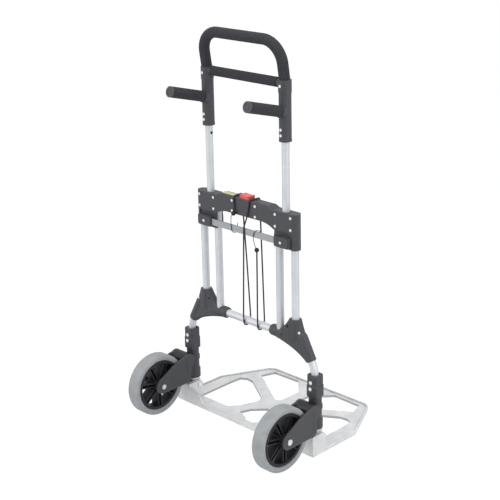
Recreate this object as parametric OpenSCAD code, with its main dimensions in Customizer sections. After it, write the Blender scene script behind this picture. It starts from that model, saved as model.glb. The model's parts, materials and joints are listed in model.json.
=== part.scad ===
// Folding stair climbing hand truck: telescoping handle, two rearward stair grips,
// wheels on swivelling forks and a toe plate that folds up against the legs.
// Millimetres. X runs across the truck, +Y points to the toe plate, +Z is up, the floor is z = 0.

/* [Tubes] */
// Outer diameter of the frame and handle tubes
tube_d = 20; // [18:0.5:21]
// Wall of every aluminium tube
tube_wall = 1.5; // [1:0.25:2.5]
// Distance of the outer frame tubes from the middle
outer_tube_x = 163; // [161:0.5:166]
// Distance of the sliding handle tubes from the middle
handle_tube_x = 134; // [133:0.5:136]
// Distance of the inner frame tubes from the middle
inner_tube_x = 110; // [106:0.5:111]
// Distance of the swivelling legs from the middle
leg_x = 228; // [225:1:232]
// Height of the lower cross tube
cross_tube_z = 293; // [290:1:298]

/* [Crosshead] */
// Height of the raised middle of the crosshead
head_top_z = 628; // [626:0.5:636]
// How far the ends of the crosshead lie below its middle
head_drop = 7; // [5:0.5:7.5]
// Height of the beam between the two end blocks
head_beam_h = 45; // [44:0.5:48]
// Height of the whole crosshead
head_h = 100; // [96:0.5:102]
// Depth of the crosshead from back to front
head_depth = 29; // [28:0.5:34]
// Inner face of the end blocks
head_inner_x = 103; // [101:0.5:104]
// Half of the raised middle's length
head_crown_x = 84; // [78:1:88]
// Depth of the groove above the bar clamps
head_groove = 2; // [1:0.25:2.5]
// Height of the flat bar
bar_h = 17; // [12:0.5:19]
// Thickness of the flat bar
bar_t = 4; // [3:0.5:5]
// Height of the flat bar's middle
bar_z = 546; // [544:0.5:547]
// Half of the flat bar's length
bar_half_len = 154; // [148:1:155]
// Depth of the bar clamps
clamp_t = 13; // [12:0.5:14]
// Length of a bar clamp
clamp_w = 50; // [46:1:52]
// Height of a bar clamp
clamp_h = 28; // [26:0.5:29]

/* [Release button] */
// Length of the button
button_len = 34; // [30:1:38]
// Width of the button
button_w = 24; // [20:0.5:24]
// How far the button stands out of the crosshead
button_rise = 9; // [8:0.5:12]
// Travel of the button
button_travel = 6; // [4:0.5:6]
// Height of the lock bolts above the underside of the beam
bolt_rise = 20; // [19:0.5:21]
// Diameter of the lock bolts
bolt_d = 8; // [6:0.5:8]

/* [Handle] */
// Top of the handle loop
handle_top_z = 1054; // [1045:1:1080]
// Height of the loop's top above the collars' lower edge
loop_h = 137; // [130:1:150]
// Length of the sleeves below the collars' lower edge
sleeve_len = 119; // [96:1:119]
// Distance of the stair grips below the collars' lower edge
grip_drop = 48; // [41:1:57]
// Outer diameter of the sleeves
sleeve_d = 31; // [29:0.5:33]
// Height of a collar
collar_h = 31; // [28:0.5:34]
// Outer diameter of the collars
collar_d = 33; // [32:0.5:35]
// How far the loop leans back, in degrees
loop_lean = 9; // [0:0.5:12]
// Bend radius of the loop's corners
loop_bend_r = 55; // [45:1:60]
// Outer diameter of the foam on the loop
loop_foam_d = 27.5; // [26:0.5:30]
// Outer diameter of the crossbar's foam
bar_foam_d = 24.5; // [22:0.5:26]
// Outer diameter of the crossbar tube
crossbar_d = 16; // [14:0.5:18]
// Length of the stair grips from the sleeve axis
grip_len = 133; // [110:1:150]
// Rise of the stair grips, in degrees
grip_rise = 15; // [0:1:20]
// Outer diameter of the stair grips' foam
grip_foam_d = 28; // [26:0.5:30]

/* [Legs] */
// Lean of the upper leg tubes, in degrees
leg_lean = 28; // [26:0.5:30]
// Bend radius of the leg tubes
leg_bend_r = 100; // [95:1:105]
// Height at which the leg tubes turn upright
leg_bend_z = 196; // [193:1:199]
// Thickness of the shoulders' web
shoulder_t = 22; // [18:1:26]
// Top of the shoulders
shoulder_z = 344; // [341:1:348]
// Top of the leg housings
housing_top_z = 211; // [207:1:214]
// Lower edge of the leg housings
housing_z = 152.5; // [150.5:0.5:160]
// Half width of the leg housings
housing_half = 16.5; // [15:0.5:17]
// Height of the lower edge of the swivelling columns
column_z = 63; // [62.5:0.5:64]
// Outer diameter of the swivelling columns
column_d = 34; // [31:0.5:35]

/* [Wheels] */
// Wheel diameter
wheel_d = 170; // [160:1:172]
// Width of the tyre
wheel_w = 38; // [32:1:38]
// Diameter of the hub's rim
rim_d = 138; // [128:1:142]
// Distance of the axle behind the leg
axle_back = 135; // [133:1:140]
// Distance of the wheel's middle outside the leg
wheel_offset = 5; // [4:0.5:6]
// Clear gap between a tyre's side and the fork arm
arm_gap = 5; // [4:0.5:6]
// Thickness of the fork arms
arm_t = 6; // [5:0.5:7]
// Radius of the arm's round end
arm_end_r = 21; // [18:0.5:24]
// Radius of the drum that joins the arms above the wheel
drum_r = 20; // [18:0.5:21]
// Diameter of the axle bolt
axle_d = 8; // [6:0.5:10]
// Number of spokes
spokes = 7; // [5:1:8]

/* [Toe plate] */
// Half of the toe plate's width
plate_half_w = 255; // [252:1:258]
// Distance of the plate's back edge behind the legs
plate_back = 39; // [38:0.5:41]
// Distance of the plate's front edge before the legs
plate_front = 273; // [268:1:285]
// Thickness of the plate
plate_t = 7; // [5:0.5:8]
// Height of the lip above the plate
lip_h = 3; // [2:0.5:4]
// Width of the lip
lip_w = 4; // [3:0.5:6]
// Height of the corner walls behind the hinge
corner_wall_z = 48; // [40:1:52]
// Height of the hinge axis
hinge_z = 44; // [44:0.5:45]
// Height of the hinge cheeks
cheek_z = 56; // [55:0.5:58]
// Thickness of the outer hinge cheeks
outer_cheek_w = 14.7; // [10:0.1:15]
// Thickness of the inner hinge cheeks
inner_cheek_w = 12; // [8:0.5:14]
// Width of the foot between the hinge cheeks
foot_w = 24; // [20:1:25]
// Diameter of the hinge pins
pin_d = 8; // [6:0.5:10]

/* [Elastic cord] */
// Diameter of the elastic cord
cord_d = 4; // [3:0.5:4]
// Diameter of the ball ends of the cord
cord_end_d = 12; // [10:0.5:12]
// Diameter of the hook wire
hook_wire_d = 2; // [1.5:0.25:2.5]

/* [Hidden] */
$fn = 64;
bend_swell = 0.02;                  // a bent length of tube is this much thicker all round
cut = 1;                            // overrun of a cut past a face
fit = 0.1;                          // radial gap of a fixed fit
run = 0.05;                         // radial gap of a pin that turns
slide = 0.3;                        // gap of the sliding handle and of swivels
tube_r = tube_d / 2;
wheel_r = wheel_d / 2;
axle_z = wheel_r;
legs_y = (axle_back + wheel_r - plate_front) / 2;   // centres the truck on the origin
wheel_x = leg_x + wheel_offset;

head_beam_z = head_top_z - head_beam_h;
head_end_z = head_top_z - head_drop;
head_low_z = head_top_z - head_h;
head_half_d = head_depth / 2;
head_half_w = outer_tube_x + head_half_d;
head_edge_r = 3;
head_gusset_x = head_inner_x - 45;  // where the beam starts to deepen towards the end block
head_gusset_h = 12;
groove_top_z = head_low_z + 43;
groove_z = head_low_z + 32;
bolt_z = head_beam_z + bolt_rise;
socket_top_z = head_end_z - 6;      // roof over the blind sockets of the frame tubes
inner_tube_top_z = bolt_z - bolt_d / 2 - 9;
clamp_x = 137;                      // middle of a bar clamp
clamp_z = head_low_z + 4;
clamp_base_y = -(head_half_d - head_groove);
clamp_face_y = clamp_base_y - clamp_t;
bar_y = clamp_face_y + 4.5;         // rear face of the flat bar

screw_head_r = 3.7;
screw_head_h = 1.8;
screw_shank_r = 2;
screw_len = 4;
clamp_screw_len = clamp_t + 1;
leg_rivet_r = 5;                    // heads of the rivets in the leg housings
collar_rivet_len = 5;
// X and height below the top of the crosshead's screws
head_screws = [[outer_tube_x - 1, 16.5], [outer_tube_x - 1, 47], [inner_tube_x, 16.5], [inner_tube_x, 47],
    [41, 10.5], [41, 38]];

tooth_d = 4;                        // cross pin of a lock bolt
cam_t = 3;                          // thickness of the button's cam plate
cam_half = 31;                      // half of the cam plate's length
cam_x = 24;                         // cross pin's distance from the middle at rest
yoke_half = 8;
yoke_x = [14, 44];                  // ends of a lock bolt's yoke
cavity_half = yoke_x[1] + button_travel + 2;
dish_r = 60;                        // finger dish of the button
dish_depth = 1.5;
strip_size = [46, 16];              // marker strip beside the button
strip_x = -62;
cavity_floor = 2.5;
spring_r = 3.5;
spring_wire_r = 0.6;
spring_turns = 6;

collar_z = handle_top_z - loop_h;
sleeve_z = collar_z - sleeve_len;
grip_z = collar_z - grip_drop;
handle_tube_z = head_low_z + 10;
loop_kink_z = collar_z + 26;
handle_tube_top_z = loop_kink_z - 1;
loop_leg = (handle_top_z - loop_foam_d / 2 - loop_kink_z) / cos(loop_lean);
foam_start = 6;
loop_foot = 2;
lock_hole_z = sleeve_z - 20;
cap_t = 3;
crossbar_z = collar_z + 22;
grip_boss_len = 20;
stair_tube_start = tube_r + 3.5;

leg_top = [leg_x - leg_bend_r * (1 - cos(leg_lean)), leg_bend_z + leg_bend_r * sin(leg_lean)];
leg_socket_len = 44;
boss_r = tube_r + 5.5;
arm_r = tube_r + 4.5;
arm_end_x = 80;
leg_boss_r = tube_r + 3.6;
leg_boss_len = 64;
shoulder_screw = [leg_top[0] - 32, -shoulder_t / 2 + 1, leg_top[1] + 71];
collar_step = 1.5;
housing_step_z = housing_top_z - 28;
post_z = column_z - 8;
bore_r = tube_r + run;
column_top_z = housing_z - slide;

arm_in = wheel_w / 2 + arm_gap;
arm_out = arm_in + arm_t;
axle_y = -axle_back;
arm_front_y = -32;
drum_at = [arm_front_y - 4, housing_z - 5.5 - drum_r];    // middle of the drum: y behind the leg, z
arm_top_z = housing_z - 7.5;
arm_foot_z = column_z + 9;          // lower edge of the arms at the leg
arm_brow = [40, 46];                // upper corner of an arm, before and above the axle
arm_sole = [60, -21];               // lower corner of an arm, before and below the axle
arm_edge = 7;                       // raised edge round an arm's sunk panel
arm_panel_depth = 1.2;
arm_panel_gap = 5;                  // between the sunk panel and the raised round end
web_side = 5;                       // how far the web stays inside the column
// Rings round the fork's column: height above its foot, length, extra diameter
column_rings = [[1, 26, 5], [54, 12, 4]];
guard_r = wheel_r + 3;
bearing_r = 11;
bearing_w = 7;
hub_r = 17;
spoke_rib = 3;
spoke_w = 13;
spoke_web = 5;

foot_r = 14;
foot_step_z = cheek_z + slide;
cheek_gap = 0.3;
wall_t = 4;
rim_wall_z = 12;
corner_wall_x = 165;
low_wall_x = 135;
plate_bend_y = 128;
plate_corner_x = 182;
plate_corner_r = 30;

// Openings of the toe plate on the right half, and the one in the middle
side_window = [[209, 8], [210, 122], [208, 162], [190, 173], [166, 170], [86, 120], [69, 108],
    [63, 86], [82, 35], [104, 8]];
front_window = [[175, 215], [159, 257], [70, 260], [17, 205], [19, 135], [32, 124]];
back_window = [[56, 8], [44, 40], [12, 72], [-12, 72], [-44, 40], [-56, 8], [-22, -4],
    [-18, -15], [18, -15], [22, -4]];

// Route of the elastic cord: up the back, over the crosshead, down the front, round the cross tube,
// up the back, over the crosshead beside the button, down the front, round and up to the second end.
// Each point is [x, distance behind (-) or before (+) the legs, z].
cord_route = [
    [-31, -19.5, 590], [-31.5, -17.5, 600], [-32, -17, 616], [-32.5, -16.8, 626.5], [-33, -15.3, 629.3],
    [-33.5, -12.5, 630.5], [-34.5, 0, 630.5], [-35, 12.5, 630.5], [-35, 15.3, 629.3], [-35, 16.8, 626.5],
    [-35, 17, 616], [-34, 17, 583], [-22, 15, 450], [-11, 13, 310], [-10, 12.5, 290], [-10, 9.5, 283.5],
    [-10, 4, 280.5], [-10, -4, 280.5], [-10, -9.5, 283.5], [-10, -12.5, 290], [-10, -13.5, 310],
    [0, -19, 450],
    [7, -23.4, 535], [8, -23.4, 557], [14, -18.5, 582], [20, -17, 612], [23, -16.8, 626.5],
    [23.5, -15.3, 629.3],
    [24, -12.5, 630.5], [26, 0, 630.5], [27, 12.5, 630.5], [27, 15.3, 629.3], [27, 16.8, 626.5],
    [27, 17, 616],
    [28, 17, 583], [34, 15, 450], [40, 13, 310], [40, 12.5, 290], [40, 9.5, 283.5], [40, 4, 280.5],
    [40, -4, 280.5],
    [40, -9.5, 283.5], [40, -12.5, 290], [41, -13.5, 310], [47, -18, 430], [51, -21.5, 502]];
cord_sides = 8;
end_1 = [-31, -20.8, 586];
end_2 = [51.5, -22, 506.5];
hook_route_1 = [
    [-34, -21.5, 583], [-38, -22, 578], [-39, -22.3, 568], [-39, -22.3, 550], [-38, -22.3, 541],
    [-36, -21.6, 536],
    [-32, -19, 534.2], [-28, -16.3, 535], [-25.5, -15.2, 540], [-23.5, -15, 550], [-22, -15, 561]];
hook_route_2 = [
    [49.5, -22.5, 510], [45, -22.6, 518], [41, -22.6, 531], [40, -22.6, 542], [43, -22.6, 551.5],
    [48, -22, 557],
    [53, -19, 558], [57, -16, 557], [59, -15.2, 551]];

function bow(a, b, c, n) = [for (i = [0:n]) let (t = i / n)
    (1 - t) * (1 - t) * a + 2 * t * (1 - t) * b + t * t * c];
function arc(c, r, a0, a1, n) = [for (i = [0:n]) let (a = a0 + (a1 - a0) * i / n)
    c + r * [cos(a), sin(a)]];
function flip(points) = [for (i = [len(points) - 1:-1:0]) [-points[i][0], points[i][1]]];

module at_legs() { translate([0, legs_y, 0]) children(); }
module at_side(s) { at_legs() mirror([s < 0 ? 1 : 0, 0, 0]) children(); }
module both_sides() { for (s = [-1, 1]) at_side(s) children(); }
module along_x() { rotate([90, 0, 90]) children(); }
module along_y() { rotate([90, 0, 0]) children(); }
module x_rod(r, x0, x1) { translate([x0, 0, 0]) rotate([0, 90, 0]) cylinder(r = r, h = x1 - x0); }
module tube(h) {
    difference() {
        cylinder(r = tube_r, h = h);
        translate([0, 0, -cut]) cylinder(r = tube_r - tube_wall, h = h + 2 * cut);
    }
}
module round_rect(w, h, r) {
    square([w - 2 * r, h], center = true);
    square([w, h - 2 * r], center = true);
    for (x = [-1, 1], y = [-1, 1]) translate([x * (w / 2 - r), y * (h / 2 - r)]) circle(r);
}
// Fastener with its head's seat at the origin and its shank along +Y
module screw(len = screw_len, head_r = screw_head_r) {
    rotate([-90, 0, 0]) {
        cylinder(r = screw_shank_r, h = len);
        translate([0, 0, -screw_head_h]) intersection() {
            cylinder(r = head_r, h = screw_head_h);
            translate([0, 0, 5]) sphere(r = 6.8, $fn = 48);
        }
    }
}
module screw_hole(len = screw_len) {
    rotate([-90, 0, 0]) translate([0, 0, -cut]) cylinder(r = screw_shank_r + fit, h = len + cut + 0.5);
}

// ---- frame tubes ----
outer_tube_z = shoulder_z - 50;
inner_tube_z = cross_tube_z - 8;

module outer_tube() {
    color("silver") translate([outer_tube_x, 0, outer_tube_z]) tube(socket_top_z - outer_tube_z);
}
module inner_tube() {
    color("silver") translate([inner_tube_x, 0, inner_tube_z]) tube(inner_tube_top_z - inner_tube_z);
}
cross_half = inner_tube_x - tube_r - 4;
module cross_tube() {
    color("silver") translate([-cross_half, 0, cross_tube_z]) rotate([0, 90, 0]) tube(2 * cross_half);
}

// ---- shoulders ----
module shoulder_outline(inset = 0) {
    // The outline ends a little inside the round leg boss
    half_boss = leg_boss_r - inset - 0.8;
    foot = leg_top - half_boss * [cos(leg_lean), sin(leg_lean)];
    heel = leg_top + half_boss * [cos(leg_lean), sin(leg_lean)];
    top_in = outer_tube_x - boss_r + inset;
    top_out = outer_tube_x + boss_r - inset;
    low_z = cross_tube_z - arm_r + inset;
    high_z = cross_tube_z + arm_r - inset;
    polygon(concat(
        bow([top_out, shoulder_z], [outer_tube_x + 30 - inset, shoulder_z - 52], heel, 10),
        bow(foot, [foot[0] - 31, low_z - 14], [arm_end_x + 16, low_z], 12),
        [[arm_end_x + 4, low_z], [arm_end_x + 4, high_z]],
        bow([inner_tube_x + 2, high_z], [inner_tube_x + 19, high_z + 5], [top_in, shoulder_z], 8)));
}
module on_leg_lean() { translate([leg_top[0], 0, leg_top[1]]) rotate([0, -leg_lean, 0]) children(); }
module shoulder() {
    color("dimgray") difference() {
        union() {
            for (layer = [[0.55, 0], [0.8, 1.5], [1, 4]]) translate([0, layer[0] * shoulder_t / 2, 0])
                along_y() linear_extrude(layer[0] * shoulder_t) shoulder_outline(layer[1]);
            translate([outer_tube_x, 0, outer_tube_z - 4])
                cylinder(r = boss_r, h = shoulder_z - outer_tube_z + 4);
            translate([0, 0, cross_tube_z]) {
                x_rod(arm_r, arm_end_x + 3, inner_tube_x + 14);
                x_rod(arm_r - 3, arm_end_x, arm_end_x + 4);
                translate([arm_end_x + 3, 0, 0]) rotate([0, 90, 0]) rotate_extrude()
                    translate([arm_r - 3, 0]) circle(3);
            }
            on_leg_lean() {
                cylinder(r = leg_boss_r, h = leg_boss_len);
                translate([0, 0, leg_boss_len]) sphere(r = leg_boss_r);
            }
        }
        translate([outer_tube_x, 0, outer_tube_z]) cylinder(r = tube_r + fit, h = shoulder_z);
        translate([inner_tube_x, 0, inner_tube_z]) cylinder(r = tube_r + fit, h = shoulder_z);
        translate([0, 0, cross_tube_z]) x_rod(tube_r + fit, arm_end_x - cut, cross_half);
        on_leg_lean() translate([0, 0, -cut]) cylinder(r = tube_r + fit, h = leg_socket_len + cut);
        translate([outer_tube_x - 20, -2, shoulder_z - 23]) rotate([90, 0, 0])
            cylinder(r = 3.2, h = shoulder_t);
        translate(shoulder_screw) {
            screw_hole(1);
            rotate([90, 0, 0]) cylinder(r = screw_head_r + 0.5, h = shoulder_t);
        }
    }
}

// ---- legs ----
module leg_tube_path(r, bend_r, over = 0) {
    on_leg_lean() cylinder(r = r, h = leg_socket_len + over);
    translate([leg_x - leg_bend_r, 0, leg_bend_z]) along_y() rotate_extrude(angle = leg_lean)
        translate([leg_bend_r, 0]) circle(bend_r);
    translate([leg_x, 0, post_z - over]) cylinder(r = r, h = leg_bend_z - post_z + over);
}
module leg_tube() {
    color("silver") difference() {
        leg_tube_path(tube_r, tube_r + bend_swell);
        leg_tube_path(tube_r - tube_wall, tube_r - tube_wall - bend_swell, cut);
    }
}
housing_r = 8;
leg_rivet_z = [housing_step_z + leg_rivet_r + 4.2, housing_step_z - leg_rivet_r - 2.5];
module leg_housing() {
    color("dimgray") translate([leg_x, 0, 0]) difference() {
        union() {
            translate([0, 0, housing_z]) linear_extrude(housing_top_z - housing_z)
                round_rect(2 * housing_half, 2 * housing_half, housing_r);
            translate([0, 0, housing_z]) linear_extrude(housing_step_z - housing_z)
                round_rect(2 * (housing_half + collar_step), 2 * (housing_half + collar_step),
                           housing_r + collar_step);
        }
        translate([0, 0, housing_z - cut]) cylinder(r = tube_r + fit, h = leg_bend_z - housing_z + cut);
        // Bell mouth that lets the tube bend out of the housing
        translate([-2, 0, leg_bend_z - 1]) cylinder(r = tube_r + 2.5, h = housing_top_z - leg_bend_z + 2);
        translate([0, -housing_half, leg_rivet_z[0]]) screw_hole();
        translate([0, -housing_half - collar_step, leg_rivet_z[1]]) screw_hole(collar_rivet_len);
    }
}
module leg_screws() {
    color("gainsboro") both_sides() {
        translate([leg_x, -housing_half, leg_rivet_z[0]]) screw(screw_len, leg_rivet_r);
        translate([leg_x, -housing_half - collar_step, leg_rivet_z[1]])
            screw(collar_rivet_len, leg_rivet_r);
        translate(shoulder_screw) screw(1);
    }
}
module foot() {
    color("silver") translate([leg_x, 0, 0]) difference() {
        union() {
            translate([-foot_w / 2, 0, hinge_z]) x_rod(foot_r, 0, foot_w);
            translate([-foot_w / 2, -foot_r, hinge_z]) cube([foot_w, 2 * foot_r, foot_step_z - hinge_z]);
            translate([0, 0, foot_step_z]) cylinder(r = foot_r + 1, h = column_z - slide - foot_step_z);
        }
        translate([0, 0, post_z]) cylinder(r = tube_r + fit, h = column_z);
        translate([0, 0, hinge_z]) x_rod(pin_d / 2 + run, -foot_w, foot_w);
    }
}

// ---- crosshead ----
module head_outline() {
    arc_r = (pow(head_inner_x - head_gusset_x, 2) + pow(head_gusset_h, 2)) / (2 * head_gusset_h);
    sweep = asin((head_inner_x - head_gusset_x) / arc_r);
    half = concat([[head_crown_x, head_top_z], [head_crown_x + 16, head_end_z], [head_half_w, head_end_z],
                   [head_half_w, head_low_z], [head_inner_x, head_low_z]],
                  arc([head_gusset_x, head_beam_z - arc_r], arc_r, 90 - sweep, 90, 8));
    polygon(concat(half, flip(half)));
}
// Plan of the crosshead: straight faces that end in half rounds about the outer tubes
module head_plan() {
    square([2 * outer_tube_x, head_depth], center = true);
    for (s = [-1, 1]) translate([s * outer_tube_x, 0]) circle(head_half_d);
}
// The flat faces are set back below the groove, and the groove is a little deeper
module head_recess(side) {
    half = clamp_x + clamp_w / 2 + 0.8;
    for (c = [[head_groove, head_low_z - cut, groove_z], [head_groove + 1, groove_z, groove_top_z]])
        translate([-half, side < 0 ? -head_half_d - cut : head_half_d - c[0], c[1]])
            cube([2 * half, c[0] + cut, c[2] - c[1]]);
}
// Upper edges broken along the beam
module head_section() {
    translate([-head_half_d, head_low_z]) square([head_depth, head_h - head_edge_r]);
    translate([-head_half_d + head_edge_r, head_low_z]) square([head_depth - 2 * head_edge_r, head_h]);
    for (y = [-1, 1]) translate([y * (head_half_d - head_edge_r), head_top_z - head_edge_r])
        circle(head_edge_r);
}
module head_shell(side) {
    difference() {
        intersection() {
            translate([0, head_half_d, 0]) along_y() linear_extrude(head_depth) head_outline();
            translate([-head_half_w, 0, 0]) along_x() linear_extrude(2 * head_half_w) head_section();
            translate([0, 0, head_low_z]) linear_extrude(head_h) head_plan();
            translate([-head_half_w, side < 0 ? -head_depth : 0, head_low_z])
                cube([2 * head_half_w, head_depth, head_h]);
        }
        for (s = [-1, 1]) {
            translate([s * outer_tube_x, 0, head_low_z - cut])
                cylinder(r = tube_r + fit, h = socket_top_z - head_low_z + cut);
            translate([s * inner_tube_x, 0, head_low_z - cut])
                cylinder(r = tube_r + fit, h = inner_tube_top_z - head_low_z + cut);
            translate([s * handle_tube_x, 0, head_low_z - cut])
                cylinder(r = tube_r + slide, h = head_h + 2 * cut);
        }
        head_recess(side);
        translate([0, 0, bolt_z]) x_rod(bolt_d / 2 + slide, -handle_tube_x, handle_tube_x);
        // Room for the cam plate and the yokes of the lock bolts
        translate([-cavity_half, -yoke_half - 0.5, head_beam_z + cavity_floor])
            cube([2 * cavity_half, 2 * yoke_half + 1, head_beam_h - cavity_floor - 5]);
        // Well of the button
        translate([-button_len / 2 - slide, -button_w / 2 - slide, head_beam_z + cavity_floor])
            cube([button_len + 2 * slide, button_w + 2 * slide, head_beam_h]);
        if (side < 0) for (s = [-1, 1]) {
            for (p = head_screws) translate([s * p[0], -head_half_d, head_top_z - p[1]]) screw_hole();
            translate([s * clamp_x, clamp_base_y, bar_z]) screw_hole(1);
        }
    }
}
module crosshead_back() { color("dimgray") at_legs() head_shell(-1); }
module crosshead_front() { color("dimgray") at_legs() head_shell(1); }
module crosshead_screws() {
    color("gainsboro") at_legs() for (s = [-1, 1]) {
        for (p = head_screws) translate([s * p[0], -head_half_d, head_top_z - p[1]]) screw();
        translate([s * clamp_x, clamp_face_y, bar_z]) screw(clamp_screw_len);
    }
}
module flat_bar() {
    color("silver") at_legs() difference() {
        translate([-bar_half_len, bar_y, bar_z - bar_h / 2]) cube([2 * bar_half_len, bar_t, bar_h]);
        for (s = [-1, 1]) translate([s * clamp_x, bar_y, bar_z]) screw_hole(bar_t + cut);
    }
}
module bar_clamp() {
    color("dimgray") difference() {
        union() {
            translate([clamp_x, clamp_base_y, clamp_z + clamp_h / 2]) along_y() linear_extrude(clamp_t - 2)
                round_rect(clamp_w, clamp_h, 5);
            translate([clamp_x, clamp_base_y, clamp_z + clamp_h / 2]) along_y() linear_extrude(clamp_t)
                round_rect(clamp_w - 4, clamp_h - 4, 4);
        }
        translate([clamp_x - clamp_w, bar_y, bar_z - bar_h / 2])
            cube([bar_half_len - clamp_x + clamp_w, bar_t, bar_h]);
        translate([clamp_x, clamp_face_y, bar_z]) screw_hole(clamp_t + cut);
    }
}
module marker_strip() {
    color("khaki") at_legs() translate([strip_x, -1, head_top_z]) linear_extrude(1)
        round_rect(strip_size[0], strip_size[1], 3);
}

// ---- release button and lock bolts ----
module release_button() {
    top_z = head_top_z + button_rise;
    cap_z = head_top_z - 5;
    plate_z = bolt_z - 10.5;
    slot_len = button_travel * sqrt(2);
    color("indianred") at_legs() {
        difference() {
            translate([0, 0, cap_z]) linear_extrude(top_z - cap_z) round_rect(button_len, button_w, 4);
            // Finger dish
            translate([0, 0, top_z + dish_r - dish_depth]) along_y()
                cylinder(r = dish_r, h = button_w + 2 * cut, center = true);
        }
        difference() {
            translate([-cam_half, -cam_t / 2, plate_z]) cube([2 * cam_half, cam_t, cap_z - plate_z]);
            for (s = [-1, 1]) translate([s * (cam_x - button_travel / 2), 0, bolt_z + button_travel / 2])
                rotate([0, s * 45, 0]) {
                    cube([slot_len, cam_t + 2 * cut, tooth_d + 2 * slide], center = true);
                    for (e = [-1, 1]) translate([e * slot_len / 2, 0, 0]) along_y()
                        cylinder(r = tooth_d / 2 + slide, h = cam_t + 2 * cut, center = true);
                }
            translate([-6, -cam_t, plate_z - cut]) cube([12, 2 * cam_t, bolt_z + 3 - plate_z + cut]);
        }
    }
}
spring_z = head_beam_z + cavity_floor;
spring_len = bolt_z + 3 - spring_z;
module button_spring() {
    steps = 12;
    rise = (spring_len - 2 * spring_wire_r - 0.1) / (spring_turns * steps);
    route = [for (i = [0:spring_turns * steps])
        [spring_r * cos(360 * i / steps), spring_r * sin(360 * i / steps),
         spring_wire_r + 0.05 + rise * i]];
    color("gray") at_legs() translate([0, 0, spring_z]) swept(route, spring_wire_r, 8);
}
module lock_bolt() {
    tip_x = handle_tube_x - tube_r - slide;
    color("gray") translate([0, 0, bolt_z]) {
        x_rod(bolt_d / 2, yoke_x[1] - 2, tip_x);
        difference() {
            translate([yoke_x[0], -yoke_half + 0.3, -6])
                cube([yoke_x[1] - yoke_x[0], 2 * yoke_half - 0.6, 12]);
            translate([yoke_x[0] - 1, -cam_t / 2 - slide, -7])
                cube([yoke_x[1] - yoke_x[0] - 3, cam_t + 2 * slide, 14]);
        }
        translate([cam_x, 0, 0]) along_y() cylinder(r = tooth_d / 2, h = 2 * yoke_half - 2, center = true);
    }
}

// ---- handle ----
module handle_tube() {
    color("silver") translate([handle_tube_x, 0, 0]) difference() {
        translate([0, 0, handle_tube_z]) tube(handle_tube_top_z - handle_tube_z);
        for (z = [bolt_z, lock_hole_z]) translate([0, 0, z]) x_rod(bolt_d / 2 + slide, -tube_d, 0);
    }
}
module on_loop() { translate([0, 0, loop_kink_z]) rotate([loop_lean, 0, 0]) children(); }
// Round bar bent to the loop's shape, from a distance s up each leg
module loop_path(r, s) {
    on_loop() {
        for (m = [0, 1]) mirror([m, 0, 0]) {
            translate([handle_tube_x, 0, s]) cylinder(r = r, h = loop_leg - loop_bend_r - s);
            translate([handle_tube_x - loop_bend_r, 0, loop_leg - loop_bend_r]) along_y()
                rotate_extrude(angle = 90) translate([loop_bend_r, 0]) circle(r);
        }
        translate([0, 0, loop_leg]) x_rod(r, loop_bend_r - handle_tube_x, handle_tube_x - loop_bend_r);
    }
}
// The bare tube inside the foam; its feet stand in the leaning upper part of each collar
module loop_tube() {
    color("silver") at_legs() difference() {
        loop_path(tube_r, loop_foot);
        loop_path(tube_r - tube_wall, loop_foot - cut);
    }
}
module loop_grip() {
    color("dimgray") at_legs() difference() {
        loop_path(loop_foam_d / 2, foam_start);
        loop_path(tube_r + fit, 0);
    }
}
module sleeve() {
    color("dimgray") translate([handle_tube_x, 0, 0]) difference() {
        union() {
            translate([0, 0, sleeve_z]) cylinder(d = sleeve_d, h = collar_z - slide - sleeve_z);
            translate([0, 0, sleeve_z]) cylinder(d = sleeve_d + 1.2, h = 6);
            on_grip() cylinder(d = sleeve_d, h = grip_boss_len);
        }
        translate([0, 0, sleeve_z - cut]) cylinder(r = tube_r + fit, h = collar_z - sleeve_z + cut);
        on_grip() translate([0, 0, stair_tube_start]) cylinder(r = tube_r - 1 + fit, h = grip_boss_len);
        for (z = sleeve_rivet_z) translate([0, -sleeve_d / 2, z]) screw_hole(4);
    }
}
sleeve_rivet_z = [sleeve_z + 16, sleeve_z + 30];
module on_grip() { translate([0, 0, grip_z]) rotate([90 - grip_rise, 0, 0]) children(); }
module collar() {
    color("dimgray") translate([handle_tube_x, 0, 0]) difference() {
        union() {
            translate([0, 0, collar_z]) cylinder(d = collar_d, h = collar_h);
            translate([0, 0, crossbar_z]) x_rod(bar_foam_d / 2 - 1.5, -collar_d / 2 - 4, 0);
        }
        translate([0, 0, collar_z - cut]) cylinder(r = tube_r + fit, h = loop_kink_z - collar_z + cut);
        translate([0, 0, loop_kink_z]) sphere(r = tube_r + fit);
        translate([0, 0, loop_kink_z]) rotate([loop_lean, 0, 0]) cylinder(r = tube_r + fit, h = collar_h);
        translate([0, 0, loop_kink_z]) rotate([loop_lean, 0, 0]) translate([0, 0, foam_start - slide])
            cylinder(r = loop_foam_d / 2 + fit, h = collar_h);
        translate([0, 0, crossbar_z]) x_rod(crossbar_d / 2 + fit, -collar_d, -tube_r - 1);
        translate([0, -collar_d / 2, collar_z + 17]) screw_hole(4);
    }
}
module crossbar_tube() {
    half = handle_tube_x - tube_r - 1.5;
    color("silver") at_legs() translate([0, 0, crossbar_z]) difference() {
        x_rod(crossbar_d / 2, -half, half);
        x_rod(crossbar_d / 2 - tube_wall, -half - cut, half + cut);
    }
}
module crossbar_grip() {
    half = handle_tube_x - collar_d / 2 - 4.3;
    color("dimgray") at_legs() translate([0, 0, crossbar_z]) difference() {
        x_rod(bar_foam_d / 2, -half, half);
        x_rod(crossbar_d / 2 + fit, -half - cut, half + cut);
    }
}
module stair_tube() {
    color("silver") translate([handle_tube_x, 0, 0]) on_grip() translate([0, 0, stair_tube_start])
    difference() {
        cylinder(r = tube_r - 1, h = grip_len - cap_t - stair_tube_start);
        translate([0, 0, -cut]) cylinder(r = tube_r - 1 - tube_wall, h = grip_len);
    }
}
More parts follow.
